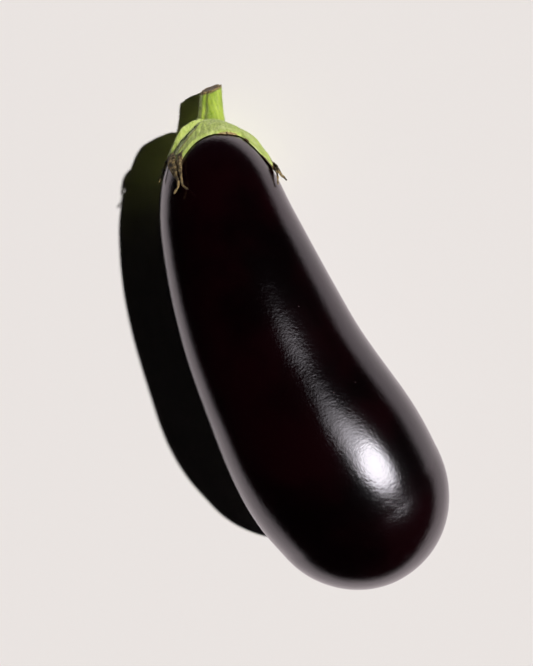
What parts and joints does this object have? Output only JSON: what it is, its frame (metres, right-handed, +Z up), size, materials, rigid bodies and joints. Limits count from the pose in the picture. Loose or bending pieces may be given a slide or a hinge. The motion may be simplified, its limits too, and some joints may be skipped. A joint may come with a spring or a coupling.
{
  "type": "eggplant",
  "caption": "Whole eggplant lying on its side: long bent glossy dark fruit with a green pointed-lobed calyx and a short cut stalk.",
  "frame": {"origin": "on the surface that the object rests on, under the middle of its bounding box", "axes": "+Z up, +Y along the length towards the stalk, +X across"},
  "size_m": [0.088, 0.236, 0.0835],
  "materials": {
    "skin": "smooth waxy near-black aubergine skin with a high natural gloss",
    "calyx": "matt downy yellow-green leaf flesh with dry tan edges and tips",
    "stalk": "matt downy green stalk with a brown corky cut end"
  },
  "bodies": {
    "root": {"fruit": "skin", "calyx": "calyx", "stem": "stalk"}
  },
  "joints": []
}
